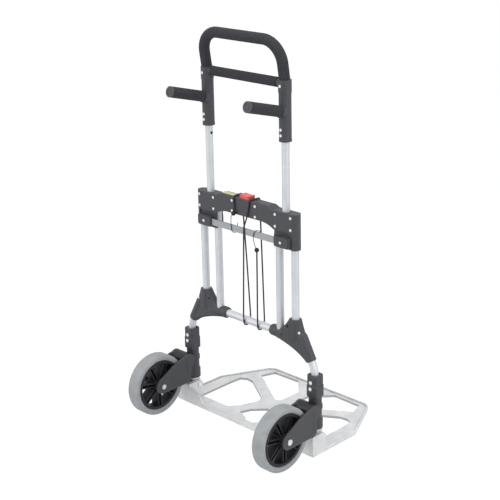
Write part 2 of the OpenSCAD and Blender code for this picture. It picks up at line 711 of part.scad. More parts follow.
module stair_grip() {
    color("dimgray") translate([handle_tube_x, 0, 0]) on_grip() translate([0, 0, grip_boss_len + 0.3])
    difference() {
        cylinder(d = grip_foam_d, h = grip_len - cap_t - grip_boss_len - 0.6);
        translate([0, 0, -cut]) cylinder(r = tube_r - 1 + fit, h = grip_len);
    }
}
module grip_cap() {
    color("dimgray") translate([handle_tube_x, 0, 0]) on_grip() translate([0, 0, grip_len - cap_t])
    difference() {
        union() {
            cylinder(d = grip_foam_d, h = cap_t);
            translate([0, 0, -8]) cylinder(r = tube_r - 1 - tube_wall - fit, h = 9);
        }
        translate([0, 0, cap_t - 0.8]) difference() {
            cylinder(r = tube_r - 2, h = cap_t);
            translate([0, 0, -cut]) cylinder(r = tube_r - 3.5, h = 2 * cap_t);
        }
    }
}
module handle_rivets() {
    color("gainsboro") both_sides() translate([handle_tube_x, 0, 0]) {
        for (z = sleeve_rivet_z) translate([0, -sleeve_d / 2, z]) screw(4);
        translate([0, -collar_d / 2, collar_z + 17]) screw(4);
    }
}

// ---- forks and wheels ----
// Point where the line from p touches a circle, on the side chosen by s
function touch(p, c, r, s) = let (v = p - c, d = norm(v), a = atan2(v[1], v[0]) + s * acos(r / d))
    c + r * [cos(a), sin(a)];
module arm_outline(inset = 0) {
    c = [axle_y, axle_z];
    r = arm_end_r - inset;
    shoulder = [axle_y + arm_brow[0], axle_z + arm_brow[1] - inset];
    sole = [axle_y + arm_sole[0], axle_z + arm_sole[1] + inset];
    high = touch(shoulder, c, r, 1);
    low = touch(sole, c, r, -1);
    front = arm_front_y - inset * 1.6;
    polygon([[front, arm_foot_z + inset], [front, arm_top_z - inset], [front - 26, arm_top_z - 3 - inset],
             shoulder, high, c, low, sole,
             [front - 20 + inset, arm_foot_z - 8 + inset], [front - 6, arm_foot_z - 6 + inset]]);
    translate(c) circle(r - 0.03);
}
module arm(x) {
    translate([x, 0, 0]) along_x() linear_extrude(arm_t) arm_outline();
}
module fork() {
    color("dimgray") difference() {
        union() {
            translate([leg_x, 0, column_z]) cylinder(d = column_d, h = column_top_z - column_z);
            for (c = column_rings) translate([leg_x, 0, column_z + c[0]])
                cylinder(d = column_d + c[2], h = c[1]);
            for (x = [-arm_out, arm_in]) arm(wheel_x + x);
            // Drum and web between the arms, clear of the tyre
            difference() {
                translate([wheel_x - arm_out, 0, 0]) along_x() linear_extrude(2 * arm_out) {
                    polygon([[arm_front_y, arm_foot_z], [arm_front_y, drum_at[1]],
                             [drum_at[0] - 6, drum_at[1]], [arm_front_y - 18, arm_foot_z - 4]]);
                    translate(drum_at) circle(drum_r);
                }
                translate([0, axle_y, axle_z]) x_rod(guard_r, wheel_x - 2 * arm_out, wheel_x + 2 * arm_out);
            }
            translate([leg_x - column_d / 2 + web_side, arm_front_y - 2, arm_foot_z])
                cube([column_d - 2 * web_side, -arm_front_y, drum_at[1] + 4 - arm_foot_z]);
        }
        translate([leg_x, 0, column_z - cut]) cylinder(r = bore_r, h = column_top_z);
        translate([0, axle_y, axle_z]) x_rod(axle_d / 2 + fit, wheel_x - 2 * arm_out, wheel_x + 2 * arm_out);
        // Sunk panels of the arms
        for (x = [-arm_out - cut, arm_out - arm_panel_depth]) translate([wheel_x + x, 0, 0])
            along_x() linear_extrude(arm_panel_depth + cut) arm_panel();
    }
}
module arm_panel() {
    difference() {
        arm_outline(arm_edge);
        translate([axle_y, axle_z]) circle(arm_end_r - arm_edge + arm_panel_gap);
    }
}
module axle_bolt() {
    head_t = 4.5;
    color("gainsboro") translate([wheel_x, axle_y, axle_z]) {
        x_rod(axle_d / 2, -arm_out - 3, arm_out);
        difference() {
            union() {
                x_rod(8, arm_out, arm_out + head_t - 1);
                x_rod(6.8, arm_out, arm_out + head_t);
            }
            translate([arm_out + head_t - 1.5, 0, 0]) rotate([0, 90, 0]) cylinder(r = 3, h = 3, $fn = 6);
        }
        // Nut on the inner arm
        difference() {
            translate([-arm_out - head_t, 0, 0]) rotate([0, 90, 0]) cylinder(r = 7.5, h = head_t, $fn = 6);
            x_rod(axle_d / 2 + fit, -arm_out - head_t - cut, -arm_out + cut);
        }
    }
}
module axle_spacers() {
    w = arm_gap - 0.3;
    color("silver") translate([wheel_x, axle_y, axle_z]) for (x = [-arm_in, arm_in - w]) difference() {
        x_rod(7, x, x + w);
        x_rod(axle_d / 2 + fit, x - cut, x + w + cut);
    }
}
module at_wheel() { translate([wheel_x, axle_y, axle_z]) rotate([0, 90, 0]) children(); }
module ring(r_out, r_in, w) {
    difference() {
        cylinder(r = r_out, h = w, center = true);
        cylinder(r = r_in, h = w + 2 * cut, center = true);
    }
}
module hub() {
    half = wheel_w / 2;
    color("#303134") at_wheel() difference() {
        union() {
            ring(rim_d / 2, rim_d / 2 - 7, wheel_w - 6);
            cylinder(r = hub_r, h = wheel_w, center = true);
            for (i = [0:spokes - 1]) rotate([0, 0, i * 360 / spokes]) {
                translate([hub_r - 3, -spoke_w / 2, -spoke_web / 2])
                    cube([rim_d / 2 - hub_r, spoke_w, spoke_web]);
                for (s = [-1, 1])
                    translate([hub_r - 4, s * (spoke_w - spoke_rib) / 2 - spoke_rib / 2, -half + 5])
                        cube([rim_d / 2 - hub_r, spoke_rib, wheel_w - 10]);
            }
        }
        cylinder(r = axle_d / 2 + 2, h = wheel_w + 2, center = true);
        for (s = [-1, 1]) translate([0, 0, s * (half - bearing_w / 2)])
            cylinder(r = bearing_r + fit, h = bearing_w + 0.02, center = true);
        difference() {
            cylinder(r = rim_d / 2 + 20, h = wheel_w + 2, center = true);
            cylinder(r = rim_d / 2, h = wheel_w + 4, center = true);
        }
    }
}
module tyre() {
    tread = wheel_r - rim_d / 2;
    color("darkgray") at_wheel() rotate_extrude($fn = 96) difference() {
        translate([rim_d / 2 + fit + tread / 2, 0]) round_rect(tread - 0.2, wheel_w, 6.5);
        translate([0, -wheel_w]) square([rim_d / 2 + fit, 2 * wheel_w]);
    }
}
module wheel_bearings() {
    color("gray") at_wheel() for (s = [-1, 1]) translate([0, 0, s * (wheel_w / 2 - bearing_w / 2)])
        ring(bearing_r, axle_d / 2 + run, bearing_w - 0.1);
}

// ---- toe plate ----
cheek_in = leg_x - foot_w / 2 - cheek_gap;
cheek_out = leg_x + foot_w / 2 + cheek_gap;
pin_end_x = cheek_out + outer_cheek_w;
module plate_outline(inset = 0) {
    side = atan2(plate_front - plate_bend_y, plate_half_w - plate_corner_x);
    corner = plate_corner_r;
    cx = plate_corner_x - corner * tan(side / 2);
    half = concat([[plate_half_w - inset, -plate_back + inset],
                   [plate_half_w - inset, plate_bend_y - inset / 4]],
                  arc([cx, plate_front - corner], corner - inset, 90 - side, 90, 6));
    polygon(concat(half, flip(half)));
}
module back_wall_outline() {
    half = concat([[plate_half_w, 0], [plate_half_w, cheek_z], [cheek_in - inner_cheek_w, cheek_z],
                   [cheek_in - inner_cheek_w - 3, corner_wall_z], [corner_wall_x, corner_wall_z - 8]],
                  bow([corner_wall_x, corner_wall_z - 8], [corner_wall_x - 2, rim_wall_z + 1],
                      [low_wall_x, rim_wall_z], 6));
    polygon(concat(half, flip(half)));
}
module cheek_outline() {
    translate([-plate_back, 0]) square([plate_back - 5, cheek_z]);
    translate([-plate_back, 0]) square([plate_back + 12, hinge_z]);
    translate([-1, cheek_z - 13]) circle(13);
    translate([-6, hinge_z - 1]) square([6, cheek_z - hinge_z + 1]);
}
module toe_plate() {
    color("lightgray") at_legs() difference() {
        union() {
            difference() {
                linear_extrude(plate_t) plate_outline();
                for (s = [0, 1]) mirror([s, 0, 0]) translate([0, 0, -cut]) linear_extrude(plate_t + 2 * cut) {
                    polygon(side_window);
                    polygon(front_window);
                }
                translate([0, 0, -cut]) linear_extrude(plate_t + 2 * cut) polygon(back_window);
            }
            difference() {
                linear_extrude(plate_t + lip_h) plate_outline();
                translate([0, 0, -cut]) linear_extrude(plate_t + lip_h + 2 * cut) plate_outline(lip_w);
            }
            translate([0, wall_t - plate_back, 0]) along_y() linear_extrude(wall_t) back_wall_outline();
            for (s = [0, 1]) mirror([s, 0, 0]) {
                translate([cheek_out, 0, 0]) along_x() linear_extrude(outer_cheek_w) cheek_outline();
                translate([cheek_in - inner_cheek_w, 0, 0]) along_x()
                    linear_extrude(inner_cheek_w) cheek_outline();
            }
        }
        for (s = [0, 1]) mirror([s, 0, 0]) translate([0, 0, hinge_z])
            x_rod(pin_d / 2 + fit, cheek_in - inner_cheek_w - cut, pin_end_x + cut);
    }
}
module hinge_pins() {
    color("gainsboro") both_sides() translate([0, 0, hinge_z]) {
        x_rod(pin_d / 2, cheek_in - inner_cheek_w, pin_end_x);
        x_rod(pin_d / 2 + 2, cheek_in - inner_cheek_w - 2, cheek_in - inner_cheek_w);
    }
}

// ---- elastic cord ----
function unit(v) = v / norm(v);
function heading(route, i) = let (n = len(route) - 1) unit(route[min(i + 1, n)] - route[max(i - 1, 0)]);
// Side vector of each ring, carried along the route so that the tube doesn't twist
function carried(route, i, v) = i >= len(route) ? [] :
    let (t = heading(route, i), w = unit(v - (v * t) * t)) concat([w], carried(route, i + 1, w));
module swept(route, r, sides) {
    n = len(route) - 1;
    across = carried(route, 0, [1, 0.1, 0]);
    points = [for (i = [0:n], k = [0:sides - 1])
        let (a = 360 * k / sides, u = across[i], v = cross(heading(route, i), u))
        route[i] + r * (cos(a) * u + sin(a) * v)];
    walls = [for (i = [0:n - 1], k = [0:sides - 1])
        let (a = i * sides + k, b = i * sides + (k + 1) % sides) [a, a + sides, b + sides, b]];
    first = [for (k = [0:sides - 1]) k];
    last = [for (k = [sides - 1:-1:0]) n * sides + k];
    polyhedron(points, concat([first], walls, [last]), convexity = 10);
}
module elastic_cord() { color("#2b2c2f") at_legs() swept(cord_route, cord_d / 2, cord_sides); }
module cord_ends() {
    color("#232427") at_legs() {
        translate(end_1) sphere(d = cord_end_d, $fn = 40);
        translate(end_2) sphere(d = cord_end_d, $fn = 40);
    }
}
module hook_wires() {
    color("gray") at_legs() {
        swept(hook_route_1, hook_wire_d / 2, 8);
        swept(hook_route_2, hook_wire_d / 2, 8);
    }
}

at_side(-1) outer_tube();  // outer_tube_left
at_side(1) outer_tube();  // outer_tube_right
at_side(-1) inner_tube();  // inner_tube_left
at_side(1) inner_tube();  // inner_tube_right
at_legs() cross_tube();
at_side(-1) shoulder();  // shoulder_left
at_side(1) shoulder();  // shoulder_right
at_side(-1) leg_tube();  // leg_tube_left
at_side(1) leg_tube();  // leg_tube_right
at_side(-1) leg_housing();  // leg_housing_left
at_side(1) leg_housing();  // leg_housing_right
leg_screws();
at_side(-1) foot();  // foot_left
at_side(1) foot();  // foot_right
crosshead_back();
crosshead_front();
crosshead_screws();
flat_bar();
at_side(-1) bar_clamp();  // bar_clamp_left
at_side(1) bar_clamp();  // bar_clamp_right
marker_strip();
elastic_cord();
cord_ends();
hook_wires();
release_button();
button_spring();
at_side(-1) lock_bolt();  // lock_bolt_left
at_side(1) lock_bolt();  // lock_bolt_right
at_side(-1) handle_tube();  // handle_tube_left
at_side(1) handle_tube();  // handle_tube_right
loop_tube();
loop_grip();
at_side(-1) sleeve();  // sleeve_left
at_side(1) sleeve();  // sleeve_right
at_side(-1) collar();  // collar_left
at_side(1) collar();  // collar_right
crossbar_tube();
crossbar_grip();
at_side(-1) stair_tube();  // stair_tube_left
at_side(1) stair_tube();  // stair_tube_right
at_side(-1) stair_grip();  // stair_grip_left
at_side(1) stair_grip();  // stair_grip_right
at_side(-1) grip_cap();  // grip_cap_left
at_side(1) grip_cap();  // grip_cap_right
handle_rivets();
at_side(-1) fork();  // fork_left
at_side(1) fork();  // fork_right
at_side(-1) axle_bolt();  // axle_bolt_left
at_side(1) axle_bolt();  // axle_bolt_right
at_side(-1) axle_spacers();  // axle_spacers_left
at_side(1) axle_spacers();  // axle_spacers_right
at_side(-1) hub();  // hub_left
at_side(1) hub();  // hub_right
at_side(-1) tyre();  // tyre_left
at_side(1) tyre();  // tyre_right
at_side(-1) wheel_bearings();  // wheel_bearings_left
at_side(1) wheel_bearings();  // wheel_bearings_right
toe_plate();
hinge_pins();
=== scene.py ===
"""Looks of a folding stair climbing hand truck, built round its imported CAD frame."""

import json
import math

import bpy
from mathutils import Matrix, Vector

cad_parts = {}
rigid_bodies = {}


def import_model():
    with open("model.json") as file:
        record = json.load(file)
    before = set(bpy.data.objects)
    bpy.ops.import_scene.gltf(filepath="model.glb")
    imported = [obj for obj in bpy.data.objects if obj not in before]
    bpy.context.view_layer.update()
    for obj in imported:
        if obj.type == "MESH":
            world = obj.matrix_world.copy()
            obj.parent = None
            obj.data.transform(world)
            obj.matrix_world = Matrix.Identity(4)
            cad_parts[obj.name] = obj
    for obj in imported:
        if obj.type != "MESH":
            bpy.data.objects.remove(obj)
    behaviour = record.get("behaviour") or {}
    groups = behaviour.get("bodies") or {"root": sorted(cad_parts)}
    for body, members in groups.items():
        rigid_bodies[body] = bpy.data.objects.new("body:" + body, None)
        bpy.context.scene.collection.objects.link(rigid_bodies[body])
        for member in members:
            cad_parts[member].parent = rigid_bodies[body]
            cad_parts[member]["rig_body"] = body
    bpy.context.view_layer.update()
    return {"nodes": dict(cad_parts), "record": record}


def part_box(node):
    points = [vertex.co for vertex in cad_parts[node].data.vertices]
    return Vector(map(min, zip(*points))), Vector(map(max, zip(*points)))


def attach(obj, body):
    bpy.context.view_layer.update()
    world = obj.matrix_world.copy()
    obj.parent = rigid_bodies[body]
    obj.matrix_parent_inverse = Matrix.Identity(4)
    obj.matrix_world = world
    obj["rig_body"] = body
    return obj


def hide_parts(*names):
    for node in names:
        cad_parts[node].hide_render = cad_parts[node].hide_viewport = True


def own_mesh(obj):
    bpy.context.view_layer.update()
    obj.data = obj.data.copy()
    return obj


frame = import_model()
SIDES = ("left", "right")
MM = 0.001


def adjust(thing, **settings):
    """Sets properties of a node, lamp, camera or modifier by name, and returns it."""
    for name, value in settings.items():
        setattr(thing, name, value)
    return thing


def add_object(name, data):
    """A new object of the scene with this mesh, lamp or camera."""
    made = bpy.data.objects.new(name, data)
    bpy.context.scene.collection.objects.link(made)
    return made


# ---- camera -------------------------------------------------------------------------

# Fitted to the photograph. The azimuth runs from -Y towards +X, and a positive roll leans to the left.
CAMERA_PLACE = Vector((2.0943, -2.1097, 1.5222))
CAMERA_AZIMUTH = math.radians(45.08)
CAMERA_ELEVATION = math.radians(19.28)
CAMERA_ROLL = math.radians(-1.2)
CAMERA_LENS = 87.85
CAMERA_SENSOR = 36
CAMERA_NEAR = 0.05
CAMERA_FAR = 60


def make_camera():
    camera = add_object("camera", bpy.data.cameras.new("camera"))
    adjust(
        camera.data,
        sensor_width=CAMERA_SENSOR,
        lens=CAMERA_LENS,
        clip_start=CAMERA_NEAR,
        clip_end=CAMERA_FAR,
    )
    back = Vector((
        math.sin(CAMERA_AZIMUTH) * math.cos(CAMERA_ELEVATION),
        -math.cos(CAMERA_AZIMUTH) * math.cos(CAMERA_ELEVATION),
        math.sin(CAMERA_ELEVATION),
    ))
    level = Vector((math.cos(CAMERA_AZIMUTH), math.sin(CAMERA_AZIMUTH), 0))
    upright = back.cross(level)
    right = level * math.cos(CAMERA_ROLL) + upright * math.sin(CAMERA_ROLL)
    up = upright * math.cos(CAMERA_ROLL) - level * math.sin(CAMERA_ROLL)
    turn = Matrix((right, up, back)).transposed()
    camera.matrix_world = Matrix.Translation(CAMERA_PLACE) @ turn.to_4x4()
    bpy.context.scene.camera = camera


# ---- shader building ----------------------------------------------------------------

ROUNDING_SAMPLES = 4
CREVICE_SAMPLES = 6


def feed(socket, value):
    """Gives a node's input a plain value, or links the output of another node to it."""
    if isinstance(value, bpy.types.NodeSocket):
        socket.id_data.links.new(value, socket)
    else:
        socket.default_value = value


def calc(tree, operation, *values):
    """The outcome of a math node on outputs of other nodes and plain numbers."""
    made = adjust(tree.nodes.new("ShaderNodeMath"), operation=operation)
    for socket, value in zip(made.inputs, values):
        feed(socket, value)
    return made.outputs[0]


class Look:
    """A principled material, with short ways to make the node chains that feed it."""

    def __init__(self, name, colour, rough, metal=0.0, specular=0.5):
        self.material = bpy.data.materials.new(name)
        self.material.use_nodes = True
        self.tree = self.material.node_tree
        self.shader = self.tree.nodes["Principled BSDF"]
        self.put("Base Color", (*colour, 1))
        self.put("Roughness", rough)
        self.put("Metallic", metal)
        self.put("Specular IOR Level", specular)
        self.normal = None

    def put(self, name, value):
        feed(self.shader.inputs[name], value)

    def node(self, kind, **settings):
        return adjust(self.tree.nodes.new(kind), **settings)

    def calc(self, operation, *values):
        return calc(self.tree, operation, *values)

    def split(self, vector):
        """The outputs X, Y and Z of a vector."""
        made = self.node("ShaderNodeSeparateXYZ")
        feed(made.inputs[0], vector)
        return made.outputs

    def place(self, stretch=(1, 1, 1), source="Object"):
        """Coordinates of the piece itself, stretched along its axes."""
        mapping = self.node("ShaderNodeMapping")
        feed(mapping.inputs["Scale"], stretch)
        feed(mapping.inputs["Vector"], self.node("ShaderNodeTexCoord").outputs[source])
        return mapping.outputs["Vector"]

    def noise(self, scale, detail=3.0, stretch=(1, 1, 1)):
        made = self.node("ShaderNodeTexNoise")
        feed(made.inputs["Scale"], scale)
        feed(made.inputs["Detail"], detail)
        feed(made.inputs["Vector"], self.place(stretch))
        return made.outputs["Fac"]

    def cells(self, scale):
        made = self.node("ShaderNodeTexVoronoi")
        feed(made.inputs["Scale"], scale)
        feed(made.inputs["Vector"], self.place())
        return made.outputs["Distance"]

    def span(self, value, low, high, start=0.3, end=0.7):
        """value, which runs from start to end, spread to run from low to high."""
        made = self.node("ShaderNodeMapRange")
        feed(made.inputs["Value"], value)
        feed(made.inputs["From Min"], start)
        feed(made.inputs["From Max"], end)
        feed(made.inputs["To Min"], low)
        feed(made.inputs["To Max"], high)
        return made.outputs["Result"]

    def mix(self, share, first, second, blend_type="MIX"):
        """Two colours blended, the second by its share."""
        made = self.node("ShaderNodeMix", data_type="RGBA", blend_type=blend_type)
        feed(made.inputs["Factor"], share)
        feed(made.inputs["A"], first)
        feed(made.inputs["B"], second)
        return made.outputs["Result"]

    def tint(self, value, dark, light):
        """Base colour from dark to light as value goes from 0 to 1."""
        self.put("Base Color", self.mix(value, (*dark, 1), (*light, 1)))

    def crevices(self, reach):
        """Painted shade in the piece's own grooves and corners: from 0 deep in them to 1 on its open
        faces.
        """
        made = self.node("ShaderNodeAmbientOcclusion", samples=CREVICE_SAMPLES, only_local=True)
        feed(made.inputs["Distance"], reach)
        return self.span(made.outputs["AO"], 0, 1, start=0.45, end=0.97)

    def rounded_normal(self, radius):
        """The surface's normal as it would be with its edges rounded to radius."""
        made = self.node("ShaderNodeBevel", samples=ROUNDING_SAMPLES)
        feed(made.inputs["Radius"], radius)
        return made.outputs["Normal"]

    def edges(self, radius):
        """From 0 on flat faces to 1 along edges, where the colour gets a painted highlight."""
        alike = self.node("ShaderNodeVectorMath", operation="DOT_PRODUCT")
        feed(alike.inputs[0], self.rounded_normal(radius))
        feed(alike.inputs[1], self.node("ShaderNodeNewGeometry").outputs["Normal"])
        return self.span(alike.outputs["Value"], 1, 0, start=0.84, end=0.985)

    def mottle_and_painted_light(self, mottle, open_share, mottle_share, edge_share, reach, radius):
        """Open faces at open_share, with real mottle, painted shade in the crevices and a painted
        highlight along the edges.
        """
        faces = self.calc("MULTIPLY", self.crevices(reach), open_share)
        patches = self.calc("MULTIPLY", mottle, mottle_share)
        with_painted_light = self.calc("MULTIPLY", self.edges(radius), edge_share)
        return self.calc("ADD", self.calc("ADD", faces, patches), with_painted_light)

    def turn_normal(self, normal):
        self.normal = normal
        self.put("Normal", normal)

    def soften(self, radius):
        """Rounds the edges of the piece a little, as a moulding or a deburred part has them."""
        self.turn_normal(self.rounded_normal(radius))

    def bump(self, height, depth):
        """Raises the surface by depth metres for each unit of height."""
        made = self.node("ShaderNodeBump")
        feed(made.inputs["Distance"], depth)
        feed(made.inputs["Height"], height)
        if self.normal:
            feed(made.inputs["Normal"], self.normal)
        self.turn_normal(made.outputs["Normal"])


# ---- finishes -----------------------------------------------------------------------

# The noise that makes drawn and brushed lines has so many cells to a metre across and along them.
DRAWN_ACROSS = 900
DRAWN_ALONG = 12
BRUSHED_ACROSS = 1500
BRUSHED_ALONG = 30


def anodised_tube(name, stretch):
    """Satin anodised aluminium with fine drawing lines along the tube."""
    look = Look(name, colour=(0.60, 0.61, 0.62), rough=0.5, metal=0.55)
    lines = look.noise(scale=1, detail=2.0, stretch=stretch)
    clouds = look.noise(scale=18)
    shade = look.span(look.calc("ADD", lines, clouds), 0, 1, start=0.8, end=1.2)
    look.tint(shade, dark=(0.525, 0.54, 0.56), light=(0.605, 0.62, 0.64))
    look.put("Roughness", look.span(lines, 0.44, 0.56))
    look.bump(lines, depth=0.00002)
    return look.material


def brushed_bar():
    """Flat bar, brushed along its length."""
    look = Look("bar_aluminium", colour=(0.36, 0.37, 0.38), rough=0.42, metal=0.5)
    look.soften(radius=0.0006)
    lines = look.noise(scale=1, stretch=(BRUSHED_ALONG, BRUSHED_ACROSS, BRUSHED_ACROSS))
    look.tint(look.span(lines, 0, 1), dark=(0.27, 0.28, 0.285), light=(0.38, 0.39, 0.40))
    look.put("Roughness", look.span(lines, 0.36, 0.5))
    look.bump(lines, depth=0.00004)
    return look.material


# The toe plate's windows lie within these bounds, in metres. The last two leave out the plate's
# slanted front corners: |x| + WINDOWS_SLANT * y is below WINDOWS_REACH.
WINDOWS_HALF_WIDTH = 0.2115
WINDOWS_BACK = -0.02
WINDOWS_FRONT = 0.2345
WINDOWS_TOP = 0.0075
WINDOWS_SLANT = 0.6
WINDOWS_REACH = 0.3
# A wall's normal rises less than WALL_RISE, and the painted shade leaves a wall WALL_SHADE of the
# casting's tone.
WALL_RISE = 0.35
WALL_SHADE = 0.36


def window_wall_shade(look):
    """1 on the upright walls of the toe plate's windows, which get a painted shade, 0 elsewhere."""
    place = look.split(look.place())
    normal = look.split(look.place(source="Normal"))
    across = look.calc("ABSOLUTE", place["X"])
    slanted = look.calc("ADD", across, look.calc("MULTIPLY", place["Y"], WINDOWS_SLANT))
    walls = look.calc("LESS_THAN", look.calc("ABSOLUTE", normal["Z"]), WALL_RISE)
    for value, side, limit in (
        (slanted, "LESS_THAN", WINDOWS_REACH),
        (across, "LESS_THAN", WINDOWS_HALF_WIDTH),
        (place["Y"], "GREATER_THAN", WINDOWS_BACK),
        (place["Y"], "LESS_THAN", WINDOWS_FRONT),
        (place["Z"], "LESS_THAN", WINDOWS_TOP),
    ):
        walls = look.calc("MULTIPLY", walls, look.calc(side, value, limit))
    return walls


def cast_metal():
    """Tumbled aluminium casting: a fine grain, cloudy patches and soft edges."""
    look = Look("cast_aluminium", colour=(0.52, 0.53, 0.53), rough=0.55, metal=0.6)
    look.soften(radius=0.0016)
    clouds = look.noise(scale=34, detail=6.0)
    grain = look.noise(scale=900, detail=2.0)
    pits = look.span(look.noise(scale=260, detail=4.0), 0, 1, start=0.28, end=0.46)
    patches = look.calc("MULTIPLY", look.span(clouds, 0.3, 1), pits)
    # Painted shade in the casting's own crevices and on its window walls, and a painted highlight along
    # its edges, over its real mottled tone.
    with_painted_light = look.mottle_and_painted_light(
        patches, open_share=0.5, mottle_share=0.28, edge_share=0.25, reach=0.007, radius=0.0014
    )
    shade = look.calc("MULTIPLY", with_painted_light, look.span(window_wall_shade(look), 1, WALL_SHADE, start=0, end=1))
    look.tint(shade, dark=(0.24, 0.245, 0.25), light=(0.82, 0.83, 0.835))
    look.put("Roughness", look.span(look.calc("ADD", clouds, grain), 0.42, 0.62, start=0.7, end=1.3))
    look.bump(look.calc("ADD", grain, look.noise(scale=160)), depth=0.00012)
    return look.material


BLACK = (0.040, 0.041, 0.046)
HUB_BLACK = (0.017, 0.017, 0.019)
# Painted shade on the forks' surfaces that turn to their wheels.
SHADED_BLACK = (0.006, 0.006, 0.007)
# Shaded surfaces are less rough by this.
SHADED_GLOSS = 0.06
# The darkest painted crevice shade and the lightest painted edge highlight, as shares of the plain
# colour.
CREVICE_SHADE = 0.35
EDGE_SHADE = 2.7


def grained_plastic(name, colour, radius=0.0009, specular=0.45, depth=0.00008, shaded=None):
    """Black glass filled nylon: a fine spark eroded grain and faint scuffs.

    shaded, where it is given, makes the mask of the surfaces that get a painted shade and are glossier.
    """
    look = Look(name, colour, rough=0.5, specular=specular)
    look.soften(radius)
    grain = look.noise(scale=1900, detail=2.0)
    scuffs = look.noise(scale=70, detail=6.0)
    base = (*colour, 1)
    rough = look.span(scuffs, 0.42, 0.6)
    if shaded:
        mask = shaded(look)
        base = look.mix(mask, base, (*SHADED_BLACK, 1))
        rough = look.calc("SUBTRACT", rough, look.calc("MULTIPLY", mask, SHADED_GLOSS))
    # The real scuff mottle, with painted shade in the crevices and a painted highlight along the edges,
    # multiplies the colour.
    mottle = look.span(scuffs, 0, 1)
    mottle_and_painted_light = look.mottle_and_painted_light(
        mottle, open_share=0.235, mottle_share=0.08, edge_share=0.5, reach=0.004, radius=0.0018
    )
    tone_and_painted_light = look.span(mottle_and_painted_light, CREVICE_SHADE, EDGE_SHADE, start=0, end=1)
    look.put("Base Color", look.mix(1.0, base, tone_and_painted_light, blend_type="MULTIPLY"))
    look.put("Roughness", rough)
    look.bump(grain, depth)
    return look.material


# A fork's surfaces turn to its wheel where they are nearer than GUARD_HALF to the wheel's middle plane
# and behind GUARD_FRONT, in metres.
GUARD_HALF = 0.0235
GUARD_FRONT = -0.047


def wheel_side(look):
    """1 on the surfaces of the forks that turn to their wheels, where the plastic gets a painted shade, 0
    elsewhere.
    """
    low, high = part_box("tyre_right")
    place = look.split(look.place())
    from_wheel = look.calc("SUBTRACT", look.calc("ABSOLUTE", place["X"]), (low.x + high.x) / 2)
    between = look.calc("LESS_THAN", look.calc("ABSOLUTE", from_wheel), GUARD_HALF)
    behind = look.calc("LESS_THAN", place["Y"], GUARD_FRONT)
    return look.calc("MULTIPLY", between, behind)


def foam():
    """Closed cell grip foam: matt, with a fine cellular skin."""
    look = Look("grip_foam", colour=(0.036, 0.037, 0.041), rough=0.88, specular=0.25)
    look.soften(radius=0.002)
    skin = look.cells(scale=900)
    soft = look.noise(scale=240, detail=4.0)
    look.tint(look.span(soft, 0, 1), dark=(0.025, 0.026, 0.030), light=(0.039, 0.040, 0.045))
    look.bump(look.calc("ADD", skin, soft), depth=0.00016)
    return look.material


def tyre_rubber():
    """Grey non marking rubber with a fine mould grain and a trace of floor dust."""
    look = Look("tyre_grey", colour=(0.30, 0.315, 0.315), rough=0.62, specular=0.35)
    look.soften(radius=0.001)
    dust = look.noise(scale=45, detail=5.0)
    look.tint(look.span(dust, 0, 1), dark=(0.243, 0.256, 0.260), light=(0.308, 0.321, 0.325))
    look.put("Roughness", look.span(dust, 0.55, 0.75))
    look.bump(look.noise(scale=1200, detail=2.0), depth=0.0001)
    return look.material


def plated_steel():
    """Zinc plated steel, bright with faint mottling."""
    look = Look("steel", colour=(0.74, 0.74, 0.75), rough=0.26, metal=1.0)
    look.soften(radius=0.0004)
    mottle = look.noise(scale=500, detail=4.0)
    look.tint(look.span(mottle, 0, 1), dark=(0.64, 0.64, 0.66), light=(0.84, 0.84, 0.84))
    look.put("Roughness", look.span(mottle, 0.2, 0.36))
    look.bump(mottle, depth=0.00003)
    return look.material


def dark_wire():
    """Blackened spring steel wire with a faint drawn sheen."""
    look = Look("hook_steel", colour=(0.10, 0.10, 0.105), rough=0.38, metal=0.8)
    drawn = look.noise(scale=700)
    look.tint(look.span(drawn, 0, 1), dark=(0.07, 0.07, 0.075), light=(0.15, 0.15, 0.155))
    look.put("Roughness", look.span(drawn, 0.3, 0.5))
    look.bump(drawn, depth=0.00003)
    return look.material


def glossy_red():
    """Moulded push button, red with a slight gloss."""
    look = Look("button_red", colour=(0.62, 0.06, 0.06), rough=0.34)
    look.soften(radius=0.0012)
    flow = look.noise(scale=60)
    look.tint(look.span(flow, 0, 1), dark=(0.56, 0.05, 0.05), light=(0.70, 0.085, 0.08))
    look.put("Roughness", look.span(look.noise(scale=300), 0.28, 0.42))
    look.bump(look.noise(scale=1200, detail=2.0), depth=0.00004)
    return look.material


def yellow_film():
    """Bare yellow strip of film."""
    look = Look("strip_yellow", colour=(0.75, 0.72, 0.32), rough=0.4)
    look.soften(radius=0.0004)
    fade = look.noise(scale=120, detail=4.0)
    look.tint(look.span(fade, 0, 1), dark=(0.42, 0.405, 0.17), light=(0.52, 0.505, 0.28))
    look.put("Roughness", look.span(fade, 0.32, 0.5))
    look.bump(look.noise(scale=700), depth=0.00004)
    return look.material


STRANDS_ROUND = 6
STRANDS_PER_METRE = 420


def braid():
    """Braided cord cover: two sets of strands that cross, from the cord's own UV map."""
    look = Look("cord_black", colour=(0.025, 0.025, 0.028), rough=0.7, specular=0.3)
    place = look.split(look.node("ShaderNodeTexCoord").outputs["UV"])
    around = look.calc("MULTIPLY", place["X"], math.tau * STRANDS_ROUND)
    along = look.calc("MULTIPLY", place["Y"], math.tau * STRANDS_PER_METRE)
    one = look.calc("SINE", look.calc("ADD", around, along))
    two = look.calc("SINE", look.calc("SUBTRACT", around, along))
    weave = look.calc("MAXIMUM", one, two)
    shade = look.span(weave, 0, 1, start=-0.2, end=1)
    look.tint(shade, dark=(0.012, 0.012, 0.013), light=(0.05, 0.05, 0.055))
    look.bump(weave, depth=0.00025)
    return look.material


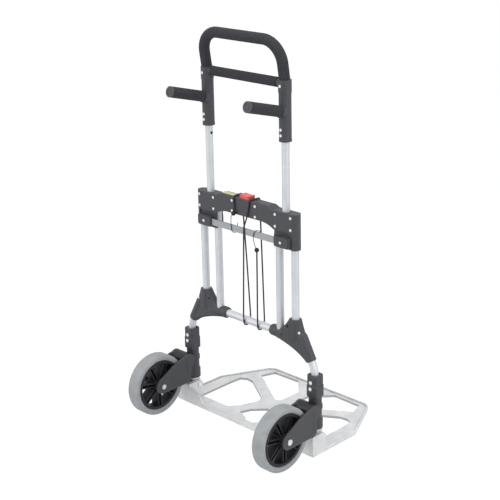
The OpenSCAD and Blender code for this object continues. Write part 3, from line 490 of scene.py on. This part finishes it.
FINISHES = {
    "upright": anodised_tube("tube_upright", stretch=(DRAWN_ACROSS, DRAWN_ACROSS, DRAWN_ALONG)),
    "level": anodised_tube("tube_level", stretch=(DRAWN_ALONG, DRAWN_ACROSS, DRAWN_ACROSS)),
    "bar_aluminium": brushed_bar(),
    "cast_aluminium": cast_metal(),
    "black_plastic": grained_plastic("black_plastic", BLACK),
    "hub_black": grained_plastic("hub_black", HUB_BLACK, radius=0.0007, specular=0.2),
    "fork_plastic": grained_plastic("fork_plastic", BLACK, depth=0.00006, shaded=wheel_side),
    "grip_foam": foam(),
    "tyre_grey": tyre_rubber(),
    "steel": plated_steel(),
    "hook_steel": dark_wire(),
    "button_red": glossy_red(),
    "strip_yellow": yellow_film(),
    "cord_black": braid(),
}
LEVEL_TUBES = ("cross_tube", "crossbar_tube")


def finish_of(node, slot):
    """The finish of a CAD node, by its own name where the slot alone doesn't tell."""
    if node == "hook_wires":
        return FINISHES["hook_steel"]
    if node.startswith("fork_"):
        return FINISHES["fork_plastic"]
    if slot == "tube_aluminium":
        return FINISHES["level" if node in LEVEL_TUBES else "upright"]
    return FINISHES[slot]


def dress_frame():
    """Gives each CAD piece the finish of its material slot."""
    slots = {row["node"]: row["material_slot"] for row in frame["record"]["subparts"]}
    for name, piece in frame["nodes"].items():
        piece.data.materials.clear()
        piece.data.materials.append(finish_of(name, slots[name]))


# ---- softened mouldings -------------------------------------------------------------

# The voxel size in metres and the rounds of smoothing for each pair of mouldings.
MOULDINGS = {
    "shoulder": (0.0011, 9),
    "leg_housing": (0.0008, 3),
    "fork": (0.0008, 3),
}
WELD_WITHIN = 0.00001
SMOOTHING = 0.5
FACES_KEPT = 0.35


def add_modifier(piece, kind, **settings):
    adjust(piece.modifiers.new(kind.lower(), kind), **settings)


def evaluated_copy(piece, name):
    """The piece's mesh with its modifiers applied, as an object of its own."""
    graph = bpy.context.evaluated_depsgraph_get()
    return add_object(name, bpy.data.meshes.new_from_object(piece.evaluated_get(graph)))


def moulding(node, voxel, rounds):
    """A copy of a CAD piece whose edges and inner corners flow into one another, as a moulding's do."""
    source = frame["nodes"][node]
    rough = add_object("rough", source.data.copy())
    add_modifier(rough, "WELD", merge_threshold=WELD_WITHIN)
    add_modifier(rough, "REMESH", mode="VOXEL", voxel_size=voxel, use_smooth_shade=True)
    add_modifier(rough, "SMOOTH", factor=SMOOTHING, iterations=rounds)
    add_modifier(rough, "DECIMATE", ratio=FACES_KEPT)
    made = evaluated_copy(rough, node + "_skin")
    bpy.data.objects.remove(rough)
    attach(made, source["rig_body"])
    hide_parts(node)


def mould_all():
    for side in SIDES:
        for name, (voxel, rounds) in MOULDINGS.items():
            moulding(f"{name}_{side}", voxel, rounds)


# ---- luggage cord -------------------------------------------------------------------

CORD_D = 0.004
CORD_SIDES = 12
CORD_STEP = 0.0025
# The cord's route as the CAD source has it, in millimetres, with y from the middle of the legs.
LEGS_Y = -26.5
CORD_ROUTE = [
    [-31, -19.5, 590], [-31.5, -17.5, 600], [-32, -17, 616], [-32.5, -16.8, 626.5],
    [-33, -15.3, 629.3], [-33.5, -12.5, 630.5], [-34.5, 0, 630.5], [-35, 12.5, 630.5],
    [-35, 15.3, 629.3], [-35, 16.8, 626.5], [-35, 17, 616], [-34, 17, 583],
    [-22, 15, 450], [-11, 13, 310], [-10, 12.5, 290], [-10, 9.5, 283.5],
    [-10, 4, 280.5], [-10, -4, 280.5], [-10, -9.5, 283.5], [-10, -12.5, 290],
    [-10, -13.5, 310], [0, -19, 450], [7, -23.4, 535], [8, -23.4, 557],
    [14, -18.5, 582], [20, -17, 612], [23, -16.8, 626.5], [23.5, -15.3, 629.3],
    [24, -12.5, 630.5], [26, 0, 630.5], [27, 12.5, 630.5], [27, 15.3, 629.3],
    [27, 16.8, 626.5], [27, 17, 616], [28, 17, 583], [34, 15, 450],
    [40, 13, 310], [40, 12.5, 290], [40, 9.5, 283.5], [40, 4, 280.5],
    [40, -4, 280.5], [40, -9.5, 283.5], [40, -12.5, 290], [41, -13.5, 310],
    [47, -18, 430], [51, -21.5, 502],
]


def row_points(route):
    """Points of the route in the row frame, in metres."""
    return [Vector((x, y + LEGS_Y, z)) * MM for x, y, z in route]


def stepped(points, step):
    """Points no further apart than step along a chain of straight lengths."""
    made = [points[0]]
    for a, b in zip(points, points[1:]):
        count = max(1, math.ceil((b - a).length / step))
        made += [a.lerp(b, (i + 1) / count) for i in range(count)]
    return made


def tube_mesh(name, path, radius, sides):
    """A closed tube swept along path, with a UV map that runs round it and, in metres, along it."""
    verts, faces, uvs, runs = [], [], [], []
    run = 0.0
    side = Vector((1, 0, 0))
    for i, point in enumerate(path):
        ahead = path[min(i + 1, len(path) - 1)] - path[max(i - 1, 0)]
        ahead.normalize()
        side = (side - ahead * side.dot(ahead)).normalized()
        other = ahead.cross(side)
        if i:
            run += (point - path[i - 1]).length
        runs.append(run)
        for k in range(sides):
            turn = math.tau * k / sides
            verts.append(point + radius * (side * math.cos(turn) + other * math.sin(turn)))
    for i in range(len(path) - 1):
        for k in range(sides):
            m = (k + 1) % sides
            a, b = i * sides, (i + 1) * sides
            faces.append((a + k, a + m, b + m, b + k))
            low, high = k / sides, (k + 1) / sides
            uvs += [(low, runs[i]), (high, runs[i]), (high, runs[i + 1]), (low, runs[i + 1])]
    for ring in (range(sides - 1, -1, -1), range((len(path) - 1) * sides, len(path) * sides)):
        faces.append(tuple(ring))
        uvs += [(0.5, runs[0])] * sides
    mesh = bpy.data.meshes.new(name)
    mesh.from_pydata(verts, [], faces)
    layer = mesh.uv_layers.new(name="run")
    layer.data.foreach_set("uv", [c for uv in uvs for c in uv])
    mesh.shade_smooth()
    return add_object(name, mesh)


def make_cord():
    """The elastic cord on the route of its CAD solid, with a braided cover."""
    path = stepped(row_points(CORD_ROUTE), CORD_STEP)
    cord = tube_mesh("elastic_cord_braid", path, CORD_D / 2, CORD_SIDES)
    cord.data.materials.append(FINISHES["cord_black"])
    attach(cord, "frame")
    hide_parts("elastic_cord")


# ---- button spring ------------------------------------------------------------------


def make_spring():
    """A copy of the button's spring, attached to the body of its CAD piece."""
    source = frame["nodes"]["button_spring"]
    spring = add_object("button_spring_coil", source.data.copy())
    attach(spring, source["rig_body"])
    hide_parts("button_spring")
    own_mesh(spring)


# ---- studio -------------------------------------------------------------------------

WHITE = (1, 1, 1, 1)
SKY_COLOUR = (0.93, 0.95, 1.0)
SKY_STRENGTH = 0.70
FLOOR_HALF = 20
# Where a ray sees the floor as a backdrop, this share of it is plain light of this strength.
BACKDROP_SHARE = 0.9
BACKDROP_STRENGTH = 1.06
LAMPS_AIM = Vector((0, 0, 0.45))


def area_light(name, place, width, height, power):
    lamp = bpy.data.lights.new(name, "AREA")
    adjust(lamp, shape="RECTANGLE", size=width, size_y=height, energy=power)
    made = add_object(name, lamp)
    made.location = place
    made.rotation_euler = (LAMPS_AIM - Vector(place)).to_track_quat("-Z", "Y").to_euler()


def backdrop_rays(tree):
    """1 for the rays that should meet a white backdrop: those of the camera, of gloss and of glass."""
    rays = tree.nodes.new("ShaderNodeLightPath").outputs
    seen = calc(tree, "MAXIMUM", rays["Is Camera Ray"], rays["Is Glossy Ray"])
    return calc(tree, "MAXIMUM", seen, rays["Is Transmission Ray"])


def mix_shaders(tree, share, first, second, output):
    """Gives an output node the shader first, with share of the shader second in it."""
    mix = tree.nodes.new("ShaderNodeMixShader")
    for socket, value in zip(mix.inputs, (share, first.outputs[0], second.outputs[0])):
        feed(socket, value)
    feed(tree.nodes[output].inputs["Surface"], mix.outputs[0])


def make_world():
    """Soft cool light from all round, and a plain white backdrop."""
    world = bpy.data.worlds.new("studio")
    bpy.context.scene.world = world
    world.use_nodes = True
    tree = world.node_tree
    sky = tree.nodes["Background"]
    feed(sky.inputs["Color"], (*SKY_COLOUR, 1))
    feed(sky.inputs["Strength"], SKY_STRENGTH)
    white = tree.nodes.new("ShaderNodeBackground")
    feed(white.inputs["Color"], WHITE)
    mix_shaders(tree, backdrop_rays(tree), sky, white, "World Output")


def make_floor():
    """A wide matt floor that reads as white and still takes the object's shadow."""
    mesh = bpy.data.meshes.new("floor")
    corners = [(x * FLOOR_HALF, y * FLOOR_HALF, 0) for x, y in ((-1, -1), (1, -1), (1, 1), (-1, 1))]
    mesh.from_pydata(corners, [], [(0, 1, 2, 3)])
    floor = add_object("floor", mesh)
    look = Look("floor", colour=(0.9, 0.9, 0.9), rough=0.7)
    white = look.node("ShaderNodeEmission")
    feed(white.inputs["Color"], WHITE)
    feed(white.inputs["Strength"], BACKDROP_STRENGTH)
    share = look.calc("MULTIPLY", backdrop_rays(look.tree), BACKDROP_SHARE)
    mix_shaders(look.tree, share, look.shader, white, "Material Output")
    mesh.materials.append(look.material)


def light_studio():
    """Three wide lamps, with powers in watts."""
    area_light("overhead", place=(0.3, -0.3, 3.2), width=2.4, height=2.4, power=49)
    area_light("front_left", place=(-1.4, -3.2, 1.9), width=1.4, height=2.4, power=40)
    area_light("right", place=(3.4, 0.2, 1.6), width=1.6, height=2.4, power=38)


# ---- scene --------------------------------------------------------------------------

make_camera()
make_world()
make_floor()
light_studio()
bpy.context.scene.view_settings.view_transform = "Standard"
dress_frame()
make_cord()
make_spring()
mould_all()
